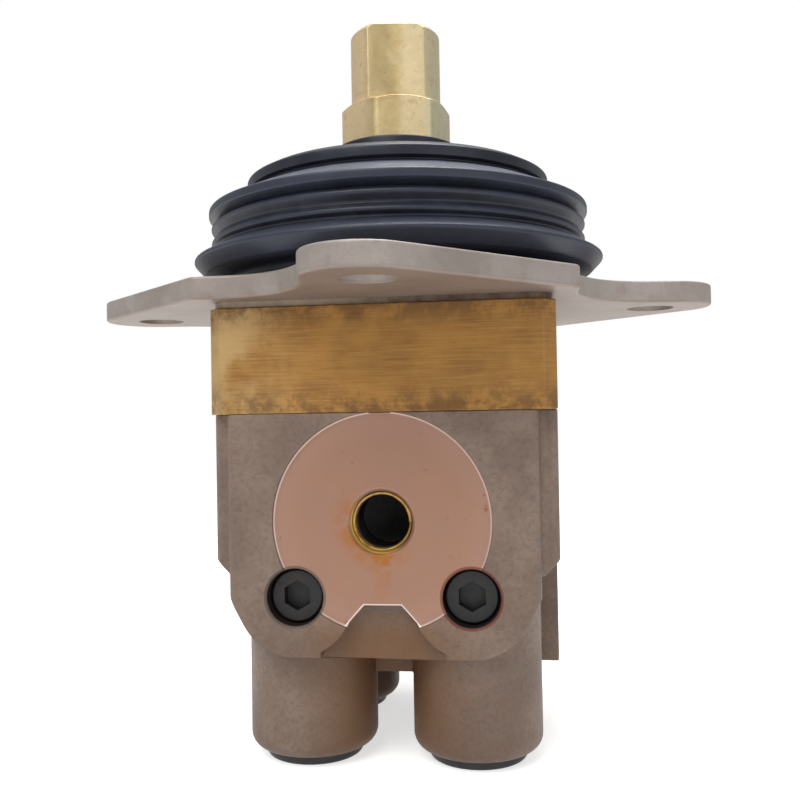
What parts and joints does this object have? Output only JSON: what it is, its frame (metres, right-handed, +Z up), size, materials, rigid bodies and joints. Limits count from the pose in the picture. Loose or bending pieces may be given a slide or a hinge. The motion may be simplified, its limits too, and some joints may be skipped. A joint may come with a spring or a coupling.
{
  "type": "hydraulic pilot joystick valve",
  "caption": "Lever-worked pilot control valve: cast body with spool bosses and ports, plated guide block, pinwheel mounting plate, ribbed rubber boot and a connector for a handle.",
  "frame": {"origin": "centre of the mounting plate's underside, where the four mounting holes' circle is centred", "axes": "+Z up along the valve's axis towards the handle connector; the front port faces -Y; the mounting noses lie on the X and Y axes"},
  "size_m": [0.1376, 0.1376, 0.1566],
  "materials": {
    "cast_body": "bead-blasted casting, oiled",
    "machined_face": "machined",
    "zinc_yellow": "yellow zinc plating",
    "plate_steel": "bead-blasted steel",
    "phosphated": "dark phosphate",
    "bright_steel": "ground",
    "black_rubber": "satin rubber",
    "seal_rubber": "nitrile",
    "black_plastic": "moulded"
  },
  "bodies": {
    "valve": {"valve_body": "cast_body", "guide_block": "zinc_yellow", "retainer_plate": "bright_steel", "mounting_plate": "plate_steel", "gallery_plugs": "phosphated", "body_screws": "phosphated", "outlet_caps": "black_plastic", "block_seals": "seal_rubber", "guide_rings": "seal_rubber", "rod_seals": "seal_rubber", "rod_guides": "bright_steel", "spring_shims": "bright_steel", "joint_base": "bright_steel", "boot_ring": "phosphated", "boot": "black_rubber", "return_spring_1": "bright_steel", "metering_spring_1": "bright_steel", "return_spring_2": "bright_steel", "metering_spring_2": "bright_steel", "return_spring_3": "bright_steel", "metering_spring_3": "bright_steel", "return_spring_4": "bright_steel", "metering_spring_4": "bright_steel"},
    "cross": {"joint_cross": "bright_steel", "joint_pins": "bright_steel"},
    "lever": {"joint_fork": "bright_steel", "swash_disc": "bright_steel", "adjusting_nut": "zinc_yellow", "lock_nut": "zinc_yellow", "handle_connector": "zinc_yellow"},
    "rod_1": {"push_rod_1": "bright_steel", "spring_seat_1": "bright_steel"},
    "spool_1": {"spool_1": "bright_steel", "spool_washer_1": "bright_steel"},
    "rod_2": {"push_rod_2": "bright_steel", "spring_seat_2": "bright_steel"},
    "spool_2": {"spool_2": "bright_steel", "spool_washer_2": "bright_steel"},
    "rod_3": {"push_rod_3": "bright_steel", "spring_seat_3": "bright_steel"},
    "spool_3": {"spool_3": "bright_steel", "spool_washer_3": "bright_steel"},
    "rod_4": {"push_rod_4": "bright_steel", "spring_seat_4": "bright_steel"},
    "spool_4": {"spool_4": "bright_steel", "spool_washer_4": "bright_steel"}
  },
  "joints": [
    {"name": "tilt_a", "type": "hinge", "parent": "valve", "child": "cross", "pos_m": [0, 0, 0.0155], "axis": [0.7071, 0.7071, 0], "range_deg": [-19, 19], "stiffness_Nm_per_rad": 4, "deforming": ["boot"]},
    {"name": "tilt_b", "type": "hinge", "parent": "cross", "child": "lever", "pos_m": [0, 0, 0.0155], "axis": [-0.7071, 0.7071, 0], "range_deg": [-19, 19], "stiffness_Nm_per_rad": 4, "deforming": ["boot"]},
    {"name": "rod_1_slide", "type": "slide", "parent": "valve", "child": "rod_1", "axis": [0, 0, 1], "range_m": [-0.00855, 0.00855], "deforming": ["return_spring_1", "metering_spring_1"]},
    {"name": "spool_1_slide", "type": "slide", "parent": "valve", "child": "spool_1", "axis": [0, 0, 1], "range_m": [-0.00161, 0.00161]},
    {"name": "rod_2_slide", "type": "slide", "parent": "valve", "child": "rod_2", "axis": [0, 0, 1], "range_m": [-0.00855, 0.00855], "deforming": ["return_spring_2", "metering_spring_2"]},
    {"name": "spool_2_slide", "type": "slide", "parent": "valve", "child": "spool_2", "axis": [0, 0, 1], "range_m": [-0.00161, 0.00161]},
    {"name": "rod_3_slide", "type": "slide", "parent": "valve", "child": "rod_3", "axis": [0, 0, 1], "range_m": [-0.00855, 0.00855], "deforming": ["return_spring_3", "metering_spring_3"]},
    {"name": "spool_3_slide", "type": "slide", "parent": "valve", "child": "spool_3", "axis": [0, 0, 1], "range_m": [-0.00161, 0.00161]},
    {"name": "rod_4_slide", "type": "slide", "parent": "valve", "child": "rod_4", "axis": [0, 0, 1], "range_m": [-0.00855, 0.00855], "deforming": ["return_spring_4", "metering_spring_4"]},
    {"name": "spool_4_slide", "type": "slide", "parent": "valve", "child": "spool_4", "axis": [0, 0, 1], "range_m": [-0.00161, 0.00161]}
  ],
  "couplings": [
    {"joint": "rod_1_slide", "follows": "tilt_b", "m_per_rad": -0.02565},
    {"joint": "spool_1_slide", "follows": "tilt_b", "m_per_rad": -0.004825},
    {"joint": "rod_2_slide", "follows": "tilt_a", "m_per_rad": 0.02565},
    {"joint": "spool_2_slide", "follows": "tilt_a", "m_per_rad": 0.004825},
    {"joint": "rod_3_slide", "follows": "tilt_b", "m_per_rad": 0.02565},
    {"joint": "spool_3_slide", "follows": "tilt_b", "m_per_rad": 0.004825},
    {"joint": "rod_4_slide", "follows": "tilt_a", "m_per_rad": -0.02565},
    {"joint": "spool_4_slide", "follows": "tilt_a", "m_per_rad": -0.004825}
  ]
}
